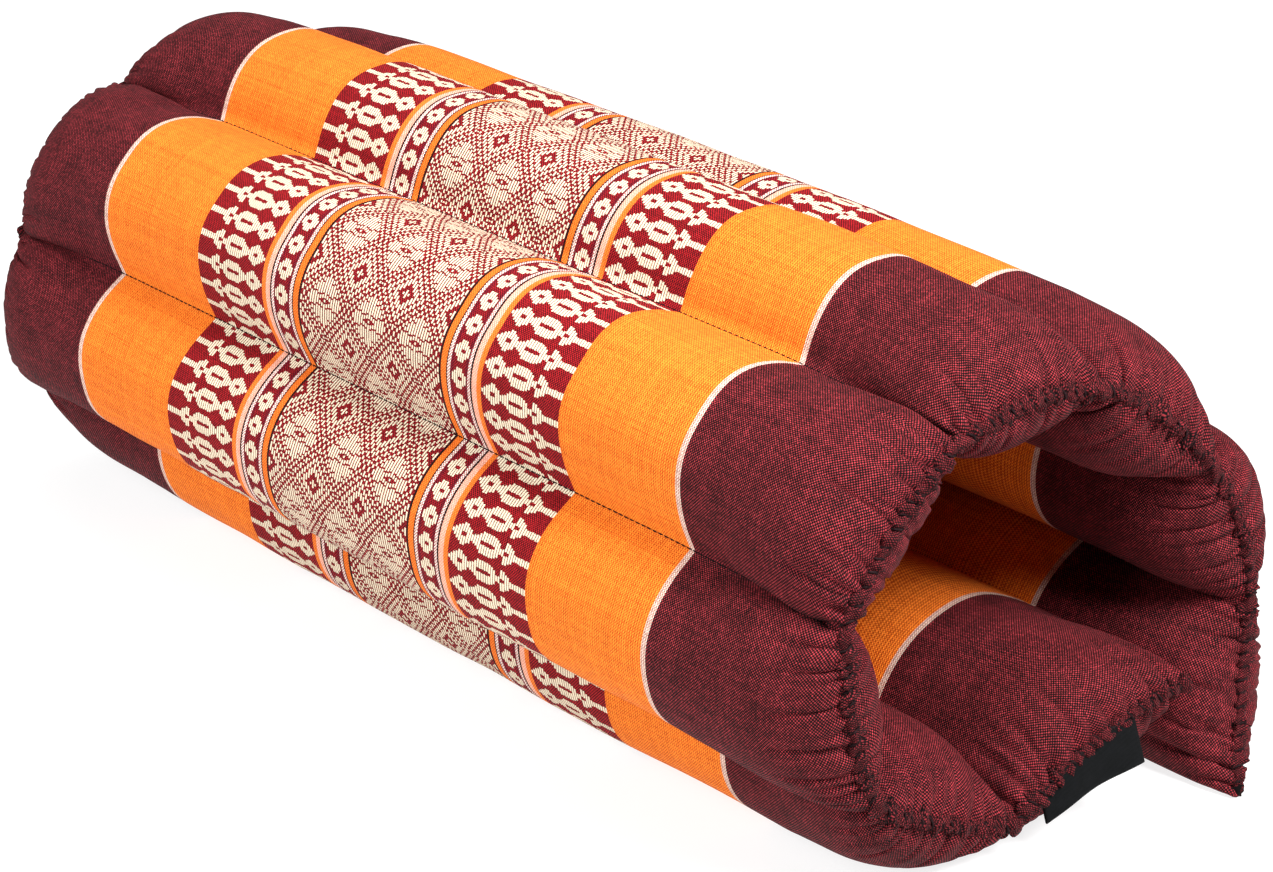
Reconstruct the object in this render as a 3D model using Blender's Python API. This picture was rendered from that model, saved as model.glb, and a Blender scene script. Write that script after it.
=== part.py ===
"""Roll-up meditation cushion: a mat of eight filled channels, bent round into an open loop.

The channels run along X. Y and Z are the loop's width and height, and the floor is at Z = 0. The origin is under
the middle of the loop, on the floor. All sizes are in metres.
"""

import math
from collections import namedtuple

import bmesh
import bpy
from mathutils import Vector

CM = 0.01

# The mat
LENGTH = 0.50            # along the channels, from one gathered end seam to the other
STITCH_THICKNESS = 0.003 # of the flattened cloth and filling under a channel's stitch line
SEAM_THICKNESS = 0.004   # of a gathered end seam
EDGE_THICKNESS = 0.005   # of the folded long edge, which the outermost channel stands on

# The stitch lines seen along X, from the inner long edge round to the outer long edge, in cm: the place at the
# near end, how far the line has moved from it at the far end, and how far each end reaches past the mat's own end
Line = namedtuple("Line", "name y z far_y far_z near_reach far_reach")
STITCH_LINES = (
    Line("inner edge", 7.1, 4.3, 0.0, 0.0, 0.0, 0.0),
    Line("label and floor channels", -1.7, 1.4, 0.0, 0.0, 0.0, 1.2),
    Line("floor and lower left", -8.5, 4.5, 0.0, 0.3, 0.0, 1.8),
    Line("lower and upper left", -10.2, 11.7, 0.4, 0.1, 0.0, 0.0),
    Line("upper left and front top", -5.4, 17.1, 0.6, 0.0, 0.0, 0.0),
    Line("front top and back top", 1.5, 17.3, 0.5, 0.4, 0.0, -0.6),
    Line("back top and upper right", 7.6, 12.6, 0.2, 0.5, 0.0, -0.2),
    Line("upper and lower right", 10.2, 6.7, 0.0, 0.0, 0.0, 0.0),
    Line("outer edge", 8.0, 0.0, 0.0, 0.0, 1.9, 1.9),
)

MIDDLE = 0.07            # the Y of the middle of the loop's width in that table

# One row for each channel: how far its two faces stand from its chord, and how far its end seam bows off that
# chord, in cm
Channel = namedtuple("Channel", "name outer inner bow")
CHANNELS = (
    Channel("label", 2.4, 2.8, -0.7),
    Channel("floor", 2.7, 2.3, 0.3),
    Channel("lower left", 2.8, 2.3, 0.4),
    Channel("upper left", 3.0, 2.2, 0.5),
    Channel("front top", 2.8, 2.2, 0.5),
    Channel("back top", 2.9, 2.2, 0.5),
    Channel("upper right", 3.3, 2.1, 0.5),
    Channel("lower right", 3.0, 2.2, 0.4),
)

# The crown of a face across a channel: (1 - |v| ** power) ** sharpness, with v from -1 to 1
OUTER_POWER = 2.6
OUTER_SHARPNESS = 0.8
INNER_POWER = 2.2
BELLY = 0.06             # how much fuller a channel is at mid-length, as a share of its crown
BELLY_HALF_LENGTH = 0.20

# The gathered ends
SAG = 0.0045             # how far the top of the loop sinks at its very ends, where little filling holds it up
SAG_FROM = 0.16          # from mid-length to where it starts to sink
TAPER = 0.034            # how far from its end seam a channel reaches its full thickness
TAPER_POWER = 2.3        # above 2, the shoulder is squarer than a round one
PLEATS = 5               # gathers across one channel's end
PLEAT_HEIGHT = 0.0016
PLEAT_LENGTH = 0.030

STEPS = 10               # faces across one side of a channel
MIDDLE_STATIONS = 7      # sections between the two tapers
TAPER_STATIONS = 6       # sections in each taper

# The label sewn in the end seam of the inner channel
LABEL_FROM = 0.32        # along that channel's end seam, from the inner edge
LABEL_TO = 0.85
LABEL_DROP_FROM = 0.0160 # how far it hangs from the seam at each end
LABEL_DROP_TO = 0.0120
LABEL_THICKNESS = 0.0012
LABEL_OVERLAP = 0.0015   # how far it reaches up over the end seam
LABEL_LEAN = 0.38        # how far it leans away from the end for each unit of drop
LABEL_STEPS = 8
GAP = 0.0003


def stitch_point(index, place):
    """A stitch line's place in the YZ plane. Along the mat, place runs from -1 at the far end to 1 at the near end."""
    line = STITCH_LINES[index]
    far = (1 - place) / 2
    to_end = max(0.0, (abs(place) * LENGTH / 2 - SAG_FROM) / (LENGTH / 2 - SAG_FROM))
    height = line.z / max(row.z for row in STITCH_LINES)
    sunk = SAG / CM * height * to_end ** 1.5
    return Vector((line.y + line.far_y * far - MIDDLE, line.z + line.far_z * far - sunk)) * CM


def outward(index, place):
    """The outward normal of a channel's chord."""
    along = (stitch_point(index + 1, place) - stitch_point(index, place)).normalized()
    return Vector((-along.y, along.x))


def stitch_normal(index, place):
    """The outward direction at a stitch line, halfway between its two channels."""
    last = len(CHANNELS) - 1
    before = outward(max(index - 1, 0), place)
    after = outward(min(index, last), place)
    return (before + after).normalized()


def spread(step):
    """The place of a step across a channel, from 0 to 1, a little closer together at the stitch lines."""
    even = step / STEPS
    round_way = (1 - math.cos(math.pi * even)) / 2
    return (even + round_way) / 2


def section_point(index, step, side, place, fullness, pleat):
    """A point of the mat's skin in the YZ plane: side is 1 on the outer face and -1 on the inner face."""
    channel = CHANNELS[index]
    u = spread(step)
    v = abs(2 * u - 1)
    if step in (0, STEPS):
        end = index + (step == STEPS)
        is_edge = end in (0, len(CHANNELS))
        half = (EDGE_THICKNESS if is_edge else STITCH_THICKNESS) / 2
        point = stitch_point(end, place) + stitch_normal(end, place) * half * side
        return Vector((point.x, max(point.y, 0.0)))
    bow = channel.bow * CM * (1 - v ** INNER_POWER)
    if side > 0:
        crown = channel.outer * CM * (1 - v ** OUTER_POWER) ** OUTER_SHARPNESS
    else:
        crown = channel.inner * CM * (1 - v ** INNER_POWER)
    crown *= 1 + BELLY * max(0.0, 1 - (place * LENGTH / 2 / BELLY_HALF_LENGTH) ** 2)
    half = SEAM_THICKNESS / 2 + (STITCH_THICKNESS - SEAM_THICKNESS) / 2 * v
    reach = side * (half + (crown - side * bow) * fullness + pleat * math.sin(math.pi * u)) + bow
    start = stitch_point(index, place)
    chord = stitch_point(index + 1, place) - start
    point = start + chord * u + outward(index, place) * reach
    return Vector((point.x, max(point.y, 0.0)))


def stations():
    """The sections along the mat: for each, its place from -1 to 1 and its distance from the nearest end seam."""
    found = []
    half = LENGTH / 2
    for i in range(TAPER_STATIONS + 1):
        # closer together at the seam, where the taper is steep
        away = TAPER * (1 - math.cos(math.pi / 2 * i / TAPER_STATIONS))
        found.append((-1 + away / half, away))
    inner = (half - TAPER) / half
    for i in range(1, MIDDLE_STATIONS + 1):
        place = -inner + 2 * inner * i / (MIDDLE_STATIONS + 1)
        found.append((place, half * (1 - abs(place))))
    for i in range(TAPER_STATIONS, -1, -1):
        away = TAPER * (1 - math.cos(math.pi / 2 * i / TAPER_STATIONS))
        found.append((1 - away / half, away))
    return found


def along_x(index, step, place):
    """The X of a section's point: a stitch line that reaches out at its end takes the cloth beside it along."""
    column = "near_reach" if place > 0 else "far_reach"
    first = getattr(STITCH_LINES[index], column)
    last = getattr(STITCH_LINES[index + 1], column)
    u = spread(step)
    blend = u ** 2 if abs(last) > abs(first) else 1 - (1 - u) ** 2
    reach = (first + (last - first) * blend) * CM
    return place * LENGTH / 2 + math.copysign(1.0, place) * reach * max(0.0, (abs(place) - 0.5) * 2) ** 2


def section(place, away):
    """The closed ring of the mat's skin at one section, outer face first, then the inner face back."""
    nearness = min(away / TAPER, 1.0)
    fullness = math.sqrt(1 - (1 - nearness) ** TAPER_POWER)
    fade = max(0.0, 1 - away / PLEAT_LENGTH) * min(1.0, away / (TAPER * 0.06))
    ring = []
    for side in (1, -1):
        row = []
        for index in range(len(CHANNELS)):
            first = 0 if index == 0 else 1
            for step in range(first, STEPS + 1):
                pleat = PLEAT_HEIGHT * fade * math.cos(2 * math.pi * PLEATS * step / STEPS)
                point = section_point(index, step, side, place, fullness, pleat)
                row.append(Vector((along_x(index, step, place), point.x, point.y)))
        ring.append(row)
    return ring[0] + ring[1][::-1]


def add_object(name, mesh, material):
    """Links a mesh as an object of its own, with its material."""
    mesh.materials.append(material)
    made = bpy.data.objects.new(name, mesh)
    bpy.context.scene.collection.objects.link(made)
    return made


def add_material(name, colour, roughness):
    """A plain cloth finish."""
    made = bpy.data.materials.new(name)
    made.use_nodes = True
    shader = made.node_tree.nodes["Principled BSDF"]
    shader.inputs["Base Color"].default_value = (*colour, 1.0)
    shader.inputs["Roughness"].default_value = roughness
    shader.inputs["Metallic"].default_value = 0.0
    return made


def make_cushion():
    """The filled mat: rings of skin joined along X, each end closed by the strip of its gathered seam."""
    mesh = bmesh.new()
    rings = []
    for place, away in stations():
        rings.append([mesh.verts.new(point) for point in section(place, away)])
    count = len(rings[0])
    for near, far in zip(rings[:-1], rings[1:]):
        for i in range(count):
            j = (i + 1) % count
            mesh.faces.new((near[i], near[j], far[j], far[i]))
    for ring in (rings[0], rings[-1]):
        for i in range(count // 2 - 1):
            corners = (ring[i], ring[i + 1], ring[count - 2 - i], ring[count - 1 - i])
            mesh.faces.new(corners)
    bmesh.ops.recalc_face_normals(mesh, faces=mesh.faces)
    bmesh.ops.triangulate(mesh, faces=mesh.faces)
    data = bpy.data.meshes.new("cushion")
    mesh.to_mesh(data)
    mesh.free()
    data.shade_smooth()
    return add_object("cushion", data, add_material("woven cotton", (0.36, 0.055, 0.07), 0.85))


def seam_line(u):
    """A point on the near end seam of the inner channel, at the middle of its thickness."""
    v = abs(2 * u - 1)
    start = stitch_point(0, 1)
    chord = stitch_point(1, 1) - start
    return start + chord * u + outward(0, 1) * CHANNELS[0].bow * CM * (1 - v ** INNER_POWER)


def make_label():
    """The bare tab: a thin strip that hangs from the end seam and leans a little away from it."""
    mesh = bmesh.new()
    columns = []
    for i in range(LABEL_STEPS + 1):
        part = i / LABEL_STEPS
        seam = seam_line(LABEL_FROM + (LABEL_TO - LABEL_FROM) * part)
        drop = LABEL_DROP_FROM + (LABEL_DROP_TO - LABEL_DROP_FROM) * part
        back = LENGTH / 2 + GAP
        top = Vector((back, seam.x, seam.y + LABEL_OVERLAP))
        bend = Vector((back, seam.x, seam.y - LABEL_OVERLAP))
        hem = Vector((back + LABEL_LEAN * drop, seam.x, seam.y - drop))
        front = Vector((LABEL_THICKNESS, 0.0, 0.0))
        points = (top, bend, hem, hem + front, bend + front, top + front)
        columns.append([mesh.verts.new(point) for point in points])
    size = len(columns[0])
    for near, far in zip(columns[:-1], columns[1:]):
        for i in range(size):
            j = (i + 1) % size
            mesh.faces.new((near[i], near[j], far[j], far[i]))
    for column in (columns[0], columns[-1]):
        mesh.faces.new((column[0], column[1], column[4], column[5]))
        mesh.faces.new((column[1], column[2], column[3], column[4]))
    bmesh.ops.recalc_face_normals(mesh, faces=mesh.faces)
    data = bpy.data.meshes.new("label")
    mesh.to_mesh(data)
    mesh.free()
    return add_object("label", data, add_material("black woven tape", (0.012, 0.013, 0.014), 0.5))


for old in list(bpy.data.objects):
    bpy.data.objects.remove(old, do_unlink=True)

make_cushion()
make_label()
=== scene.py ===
"""The looks of a roll-up meditation cushion: a mat of eight filled channels, bent round into an open loop."""

import math
import random
from collections import namedtuple

import bpy
import numpy as np
from mathutils import Matrix, Vector, noise


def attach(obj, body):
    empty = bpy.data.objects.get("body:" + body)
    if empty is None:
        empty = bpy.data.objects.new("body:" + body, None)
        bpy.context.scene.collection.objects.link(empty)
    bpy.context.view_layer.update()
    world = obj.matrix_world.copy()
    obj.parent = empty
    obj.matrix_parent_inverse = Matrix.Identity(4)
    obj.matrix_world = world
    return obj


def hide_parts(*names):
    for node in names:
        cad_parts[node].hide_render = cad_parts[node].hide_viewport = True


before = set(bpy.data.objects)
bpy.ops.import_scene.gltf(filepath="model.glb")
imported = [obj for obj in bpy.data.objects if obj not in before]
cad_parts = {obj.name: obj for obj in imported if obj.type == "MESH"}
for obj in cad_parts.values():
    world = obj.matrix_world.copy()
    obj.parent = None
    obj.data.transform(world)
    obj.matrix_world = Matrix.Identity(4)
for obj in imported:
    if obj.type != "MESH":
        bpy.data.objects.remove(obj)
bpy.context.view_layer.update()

scene = bpy.context.scene

# The camera. It stands in front of the near end and a little above it, as the photographer did.
# Its place and its axes are the ones that put the stripes and seams where the photograph shows them.
CAMERA_PLACE = (1.02319, -0.86428, 0.62453)
CAMERA_RIGHT = (0.65207064, 0.75808431, 0.01058554)
CAMERA_UP = (-0.29361225, 0.2396304, 0.92540214)
CAMERA_BACK = (0.69899623, -0.60653561, 0.37883879)

camera_data = bpy.data.cameras.new("camera")
camera_data.sensor_fit = "HORIZONTAL"
camera_data.sensor_width = 36.0
camera_data.lens = 104.63
camera = bpy.data.objects.new("camera", camera_data)
turn = Matrix((CAMERA_RIGHT, CAMERA_UP, CAMERA_BACK)).transposed().to_4x4()
camera.matrix_world = Matrix.Translation(CAMERA_PLACE) @ turn
scene.collection.objects.link(camera)
scene.camera = camera
scene.view_settings.view_transform = "Standard"

# The mat: one case of woven cotton, sewn along seven lines into eight channels and stuffed firm with loose
# fibre. It is bent once round into an open loop, and its two ends are gathered, turned in and closed by hand.
CM = 0.01
MM = 0.001
LENGTH = 0.50            # along the channels, from one gathered end seam to the other
STITCH_THICKNESS = 0.003 # of the flattened mat under a stitch line
SEAM_THICKNESS = 0.004   # of a gathered end seam
EDGE_THICKNESS = 0.005   # of the folded long edge

# The stitch lines seen along X, from the inner long edge round to the outer long edge, in cm: the place at
# the near end, how far the line has moved at the far end, and how far each end reaches past the mat's own
Line = namedtuple("Line", "name y z far_y far_z near_reach far_reach")
STITCH_LINES = (
    Line("inner edge", 7.1, 4.3, 0.0, 0.0, 0.0, 0.0),
    Line("label and floor channels", -1.7, 1.4, 0.0, 0.0, 0.0, 1.2),
    Line("floor and lower left", -8.5, 4.5, 0.0, 0.3, 0.0, 1.8),
    Line("lower and upper left", -10.2, 11.7, 0.4, 0.1, 0.0, 0.0),
    Line("upper left and front top", -5.4, 17.1, 0.6, 0.0, 0.0, 0.0),
    Line("front top and back top", 1.5, 17.3, 0.5, 0.4, 0.0, -0.6),
    Line("back top and upper right", 7.6, 12.6, 0.2, 0.5, 0.0, -0.2),
    Line("upper and lower right", 10.2, 6.7, 0.0, 0.0, 0.0, 0.0),
    Line("outer edge", 8.0, 0.0, 0.0, 0.0, 1.9, 1.9),
)
MIDDLE = 0.07            # the Y of the middle of the loop's width in that table

# One row for each channel: how far its two faces stand from its chord, and how far its end seam bows off that
# chord, in cm
Channel = namedtuple("Channel", "name outer inner bow")
CHANNELS = (
    Channel("label", 2.4, 2.8, -0.7),
    Channel("floor", 2.7, 2.3, 0.3),
    Channel("lower left", 2.8, 2.3, 0.4),
    Channel("upper left", 3.0, 2.2, 0.5),
    Channel("front top", 2.8, 2.2, 0.5),
    Channel("back top", 2.9, 2.2, 0.5),
    Channel("upper right", 3.3, 2.1, 0.5),
    Channel("lower right", 3.0, 2.2, 0.4),
)

OUTER_POWER = 2.6
OUTER_SHARPNESS = 0.8
INNER_POWER = 2.2
BELLY = 0.06             # how much fuller a channel is at mid-length, as a share of its crown
BELLY_HALF_LENGTH = 0.20
SAG = 0.0045             # how far the top of the loop sinks at its very ends
SAG_FROM = 0.16
TAPER = 0.034            # how far from its end seam a channel reaches its full thickness
TAPER_POWER = 2.3

STEPS = 60               # faces across one side of a channel near the ends, and half as many between
TAPER_ROWS = 28
FOLD_REACH = 0.058       # how far from the end seam the finer mesh goes
FOLD_ROWS = 7
MIDDLE_ROWS = 48
EDGE_ROUND = 0.0018      # how far the folded long edge stands out, half-way through its thickness


def stitch_point(index, place):
    """A stitch line's place in the YZ plane, at a place from -1 at the far end to 1 at the near end."""
    line = STITCH_LINES[index]
    far = (1 - place) / 2
    to_end = max(0.0, (abs(place) * LENGTH / 2 - SAG_FROM) / (LENGTH / 2 - SAG_FROM))
    height = line.z / max(row.z for row in STITCH_LINES)
    sunk = SAG / CM * height * to_end ** 1.5
    return Vector((line.y + line.far_y * far - MIDDLE, line.z + line.far_z * far - sunk)) * CM


def outward(index, place):
    """The outward normal of a channel's chord."""
    along = (stitch_point(index + 1, place) - stitch_point(index, place)).normalized()
    return Vector((-along.y, along.x))


def stitch_normal(index, place):
    """The outward direction at a stitch line, halfway between its two channels."""
    before = outward(max(index - 1, 0), place)
    after = outward(min(index, len(CHANNELS) - 1), place)
    return (before + after).normalized()


def along_x(index, u, place):
    """The X of a section's point: a stitch line that reaches out takes the cloth beside it along."""
    column = "near_reach" if place > 0 else "far_reach"
    first = getattr(STITCH_LINES[index], column)
    last = getattr(STITCH_LINES[index + 1], column)
    blend = u ** 2 if abs(last) > abs(first) else 1 - (1 - u) ** 2
    reach = (first + (last - first) * blend) * CM
    return place * LENGTH / 2 + math.copysign(1.0, place) * reach * max(0.0, (abs(place) - 0.5) * 2) ** 2


def spread(steps):
    """The places across a channel, from 0 to 1, a little closer together at the stitch lines."""
    even = np.linspace(0.0, 1.0, steps + 1)
    return (even + (1 - np.cos(np.pi * even)) / 2) / 2


def row_places():
    """The rows along the mat: the place of each, its distance from the end, and whether it is fine."""
    ends = [TAPER * (1 - math.cos(math.pi / 2 * i / TAPER_ROWS)) for i in range(TAPER_ROWS + 1)]
    ends += [TAPER + (FOLD_REACH - TAPER) * (i + 1) / FOLD_ROWS for i in range(FOLD_ROWS)]
    half = LENGTH / 2
    rows = [(-1 + away / half, away, True) for away in ends]
    inner = (half - FOLD_REACH) / half
    for i in range(1, MIDDLE_ROWS):
        place = -inner + 2 * inner * i / MIDDLE_ROWS
        rows.append((place, half * (1 - abs(place)), False))
    rows += [(1 - away / half, away, True) for away in reversed(ends)]
    return rows


def smooth_row(side, place, away):
    """One row of the mat's skin before its folds. Side is 1 on the outer face and -1 on the inner face."""
    us = spread(STEPS)
    fullness = math.sqrt(1 - (1 - min(away / TAPER, 1.0)) ** TAPER_POWER)
    open_end = 0.0 if away == 0 else 1.0
    belly = 1 + BELLY * max(0.0, 1 - (place * LENGTH / 2 / BELLY_HALF_LENGTH) ** 2)
    last = len(CHANNELS)
    row = []
    for index, channel in enumerate(CHANNELS):
        start, end = stitch_point(index, place), stitch_point(index + 1, place)
        out = outward(index, place)
        for step in range(0 if index == 0 else 1, STEPS + 1):
            u = float(us[step])
            v = abs(2 * u - 1)
            if step in (0, STEPS):
                line = index + (step == STEPS)
                half = (EDGE_THICKNESS if line in (0, last) else STITCH_THICKNESS) / 2
                point = stitch_point(line, place) + stitch_normal(line, place) * half * side * open_end
            else:
                bow = channel.bow * CM * (1 - v ** INNER_POWER)
                if side > 0:
                    crown = channel.outer * CM * (1 - v ** OUTER_POWER) ** OUTER_SHARPNESS
                else:
                    crown = channel.inner * CM * (1 - v ** INNER_POWER)
                half = SEAM_THICKNESS / 2 + (STITCH_THICKNESS - SEAM_THICKNESS) / 2 * v
                reach = side * (half * open_end + (crown * belly - side * bow) * fullness) + bow
                point = start + (end - start) * u + out * reach
            row.append((along_x(index, u, place), point.x, point.y))
    edges = []
    for line, beside in ((0, 1), (last, last - 1)):
        away_from = (stitch_point(line, place) - stitch_point(beside, place)).normalized()
        point = stitch_point(line, place) + away_from * EDGE_ROUND
        edges.append((row[0 if line == 0 else -1][0], point.x, point.y))
    return [edges[0]] + row + [edges[1]]


rows = row_places()
skins = {side: np.array([smooth_row(side, place, away) for place, away, _ in rows]) for side in (1, -1)}
middle_row = len(rows) // 2


def cloth_lengths(skin):
    """The length of cloth from mid-length to each point, and from the inner edge to it."""
    steps = np.linalg.norm(np.diff(skin, axis=0), axis=2)
    along = np.zeros(skin.shape[:2])
    along[1:] = np.cumsum(steps, axis=0)
    along -= along[middle_row]
    across = np.zeros(skin.shape[1])
    across[1:] = np.cumsum(np.linalg.norm(np.diff(skin[middle_row], axis=0), axis=1))
    return along, np.broadcast_to(across, along.shape)


cloth = {side: cloth_lengths(skins[side]) for side in skins}

# The cloth was sewn a little askew: how far its stripes lie towards the near end, in mm, at the stitch lines
# and at the middles of the channels between them, from the inner edge round to the outer edge
DRIFT_SETTLED = 0.175    # from mid-length, where half of it is left
DRIFT = (0.0, 0.0, 0.0, 0.0, 1.0, 2.3, 3.5, 4.6, 1.2, 1.0, 0.0, 0.0, 0.0, 0.0, 0.0, 0.0, 0.0)


def drift(along, across):
    """How far the stripes have moved at each point. It halves towards the wine ends."""
    spots = [across[0][1 + j * STEPS // 2] for j in range(2 * len(CHANNELS) + 1)]
    moved = np.interp(across, spots, DRIFT) * MM
    return moved * (1 - 0.5 * np.clip(np.abs(along) / DRIFT_SETTLED, 0.0, 1.0) ** 4)


cloth_shift = {side: drift(*cloth[side]) for side in cloth}

# The inner layer's plain orange reaches 14 mm deeper into the loop at the near end
DEEPER = 0.014
DEEPER_FULL = 0.080      # from mid-length, where it has moved that far
DEEPER_GONE = 0.170      # and where it has come back
DEEPER_FADE = 0.050
deep = np.clip((DEEPER_GONE - cloth[-1][0]) / DEEPER_FADE, 0.0, 1.0)
deep = deep * np.clip(cloth[-1][0] / DEEPER_FULL, 0.0, 1.0)
cloth_shift[-1] = cloth_shift[-1] - DEEPER * deep * deep * (3 - 2 * deep)

# The gathers. Each channel's end holds about 10 cm of cloth in 7 cm of seam, so the cloth buckles into folds.
# They are found by letting the cloth settle: it starts with a dent at each whip stitch, keeps its own width,
# and is pushed out by the filling. The push and the stiffnesses were chosen
Stitch = namedtuple("Stitch", "share length depth lean bite")
WHIP_PITCH = 0.0050      # between two stitches of the end seam
BITE = 0.0026            # how far from its edge the cloth is stitched through
BITE_DEPTH = 0.0016      # how far the stitch pulls the cloth in there
BITE_RANGE = (0.5, 1.3)
SCATTER = 0.28           # of the stitches, as a share of their pitch
DEEP_CHANCE = 0.34       # of a stitch that starts a long, deep fold
DEEP_LENGTHS = (0.010, 0.026)
OTHER_LENGTHS = (0.003, 0.007)
DENT = 0.0030
DENT_COLUMNS = 1.1       # of the mesh, how wide a dent is
DEEP_DENTS = (1.1, 1.9)
OTHER_DENTS = (0.5, 1.0)
LEAN = 70.0              # columns of the mesh that a fold may slant, for each metre
JITTER = 0.00015
SPARE_WIDTH = 0.17       # cloth beside the seam that the hem takes up, as a share of its width
SPARE_FADE = 0.03
SETTLING_ROUNDS = 200
PUSH = 0.00002           # of the filling, in each round
STIFFNESS_ACROSS = 0.028
STIFFNESS_ALONG = 0.14
SHEAR_STIFFNESS = 0.18
SWELLING_UNDONE = 0.8
MOST_MOVE = 0.007
draw = random.Random(11)


def whip_stitches(index, end):
    """The stitches in one channel's end seam: where each is, and the fold that it starts."""
    start, last = stitch_point(index, end), stitch_point(index + 1, end)
    count = max(4, round((last - start).length / WHIP_PITCH))
    found = []
    for k in range(1, count):
        is_deep = draw.random() < DEEP_CHANCE
        found.append(Stitch(
            (k + draw.uniform(-SCATTER, SCATTER)) / count,
            draw.uniform(*(DEEP_LENGTHS if is_deep else OTHER_LENGTHS)),
            DENT * draw.uniform(*(DEEP_DENTS if is_deep else OTHER_DENTS)),
            draw.uniform(-LEAN, LEAN),
            draw.uniform(*BITE_RANGE),
        ))
    return found


stitches = {(end, index): whip_stitches(index, end) for end in (1, -1) for index in range(len(CHANNELS))}


def unit_normals(grid, sign):
    """The unit normals of a grid of points."""
    normal = np.cross(np.gradient(grid, axis=0), np.gradient(grid, axis=1)) * sign
    return normal / np.maximum(np.linalg.norm(normal, axis=2, keepdims=True), 1e-12)


def draw_together(first, last, length, first_free, last_free):
    """Moves two sets of points towards the length of cloth that lies between them."""
    gap = last - first
    now = np.linalg.norm(gap, axis=2) + 1e-12
    step = gap * ((now - length) / now)[..., None]
    share = first_free + last_free + 1e-9
    first += step * (first_free / share)[..., None]
    last -= step * (last_free / share)[..., None]


def settle(grid, widths, lengths, free, sign):
    """Lets the cloth of one end settle, under the filling's push, into folds of its spare width."""
    slants = np.sqrt(widths[:-1] ** 2 + lengths[:, :-1] ** 2)
    nearer = (lengths[1:] / (lengths[1:] + lengths[:-1]))[..., None]
    for _ in range(SETTLING_ROUNDS):
        grid += unit_normals(grid, sign) * (PUSH * free)[..., None]
        for s in (0, 1):
            first, last = np.s_[:, s:-1:2], np.s_[:, s + 1::2]
            draw_together(grid[first], grid[last], widths[:, s::2], free[first], free[last])
        for s in (0, 1):
            first, last = np.s_[s:-1:2], np.s_[s + 1::2]
            draw_together(grid[first], grid[last], lengths[s::2], free[first], free[last])
        for here, there in ((slice(0, -1), slice(1, None)), (slice(1, None), slice(0, -1))):
            gap = grid[1:, there] - grid[:-1, here]
            now = np.linalg.norm(gap, axis=2) + 1e-12
            step = gap * (SHEAR_STIFFNESS * (now - slants) / now)[..., None]
            grid[:-1, here] += step * free[:-1, here][..., None]
            grid[1:, there] -= step * free[1:, there][..., None]
        bend = (grid[:, :-2] + grid[:, 2:]) / 2 - grid[:, 1:-1]
        grid[:, 1:-1] += bend * STIFFNESS_ACROSS * free[:, 1:-1][..., None]
        bend = grid[:-2] * nearer + grid[2:] * (1 - nearer) - grid[1:-1]
        grid[1:-1] += bend * STIFFNESS_ALONG * free[1:-1][..., None]
    return grid


def gather(zone, middle, side, end):
    """The gathered cloth of one face at one end. The zone's rows run from the end seam inwards."""
    count, width = zone.shape[:2]
    sign = -side * end
    lengths = np.linalg.norm(np.diff(zone, axis=0), axis=2)
    reach = np.concatenate([np.zeros((1, width)), np.cumsum(lengths, axis=0)])
    cut = np.linalg.norm(np.diff(middle, axis=0), axis=1)
    spare = 1 + SPARE_WIDTH * np.exp(-(reach.mean(axis=1) / SPARE_FADE) ** 2)
    widths = cut[None, :] * spare[:, None]
    normal = unit_normals(zone, sign)
    free = np.ones((count, width))
    free[:, ::STEPS] = 0.0
    free[0] = 0.0
    free[-2:] = 0.0
    start = zone.copy()
    for index in range(len(CHANNELS)):
        first = index * STEPS
        seam = np.linalg.norm(np.diff(zone[0, first:first + STEPS + 1], axis=0), axis=1)
        seam = np.concatenate([[0.0], np.cumsum(seam)]) / seam.sum()
        for stitch in stitches[end, index]:
            column = first + int(np.clip(np.argmin(np.abs(seam - stitch.share)), 1, STEPS - 1))
            for r in range(1, count - 2):
                fade = math.exp(-(reach[r, column] / stitch.length) ** 2)
                shifted = column + round(stitch.lean * reach[r, column])
                for beside in range(-2, 3):
                    c = shifted + beside
                    if first < c < first + STEPS:
                        slope = math.exp(-(beside / DENT_COLUMNS) ** 2)
                        start[r, c] -= normal[r, c] * stitch.depth * fade * slope
            r = int(np.clip(np.searchsorted(reach[:, column], BITE), 1, 3))
            start[r, column] = zone[r, column] - normal[r, column] * BITE_DEPTH * stitch.bite
            free[r, column] = 0.0
    jitter = np.array([[draw.uniform(-1, 1) for _ in range(width)] for _ in range(count)])
    start += normal * (jitter * JITTER * free)[..., None]
    settled = settle(start, widths, lengths, free, sign)
    move = settled - zone
    # the filling is no fuller than before, so each channel's mean swelling is taken out again
    across_it = np.abs(2 * spread(STEPS) - 1)[:-1]
    for index in range(len(CHANNELS)):
        part = slice(index * STEPS, (index + 1) * STEPS)
        swelling = (move[:, part] * normal[:, part]).sum(axis=2).mean(axis=1)
        shape = (1 - across_it ** 4) / (1 - across_it ** 4).mean()
        undone = SWELLING_UNDONE * swelling[:, None] * shape[None, :]
        move[:, part] -= normal[:, part] * undone[..., None]
    moved = np.linalg.norm(move, axis=2, keepdims=True)
    return zone + move * np.minimum(1.0, MOST_MOVE / np.maximum(moved, 1e-9))


UNEVENNESS = 0.0008      # of the filling
LUMPS_ALONG = 26.0       # in each metre
LUMPS_ACROSS = 34.0


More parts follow.
